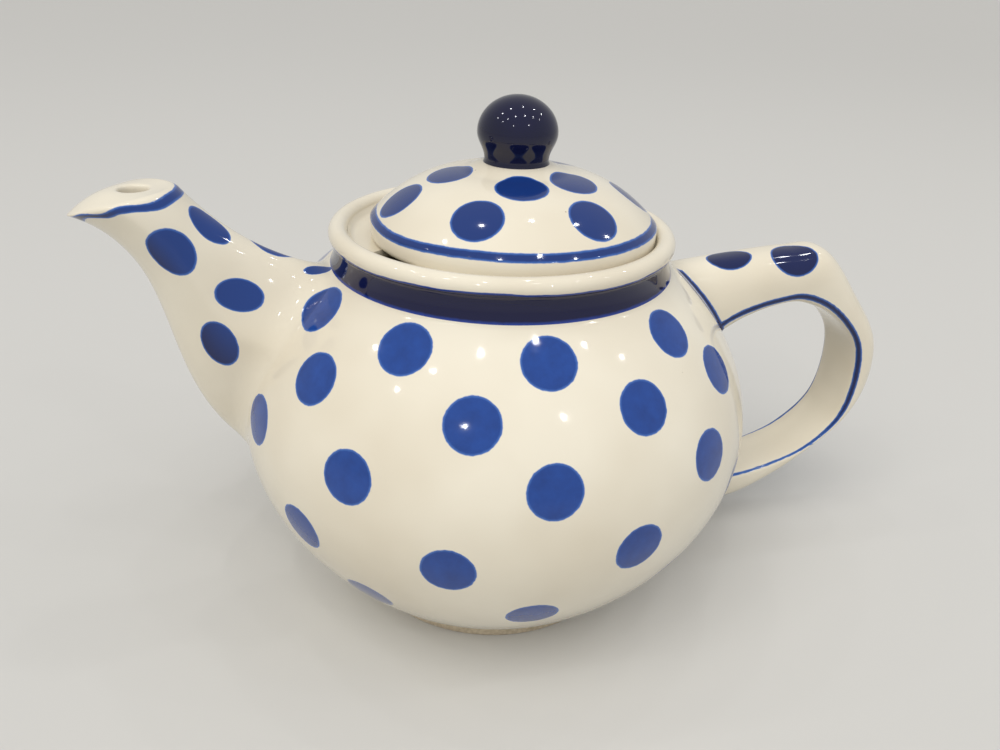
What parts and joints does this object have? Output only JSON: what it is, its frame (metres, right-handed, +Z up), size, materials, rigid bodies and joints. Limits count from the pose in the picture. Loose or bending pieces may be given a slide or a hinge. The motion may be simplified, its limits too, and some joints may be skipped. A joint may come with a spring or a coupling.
{
  "type": "teapot",
  "caption": "Round stoneware teapot with a beaked spout, a strap handle and a loose domed lid with a knob, for brewing and pouring tea.",
  "frame": {"origin": "middle of the foot ring, on the table", "axes": "+X towards the handle, -X towards the spout, +Z up"},
  "size_m": [0.2432, 0.15, 0.1489],
  "materials": {
    "cream_glaze": "gloss",
    "cobalt_glaze": "gloss",
    "navy_glaze": "gloss",
    "bare_clay": "matte"
  },
  "bodies": {
    "pot": {"body": "cream_glaze", "foot_ring": "bare_clay", "collar": "cobalt_glaze", "spout": "cream_glaze", "handle": "cream_glaze"},
    "lid": {"lid": "cream_glaze", "lid_flange": "cream_glaze", "knob": "navy_glaze"}
  },
  "joints": [
    {"name": "lid_lift", "type": "slide", "parent": "pot", "child": "lid", "axis": [0, 0, 1], "range_m": [0, 0.06]}
  ]
}
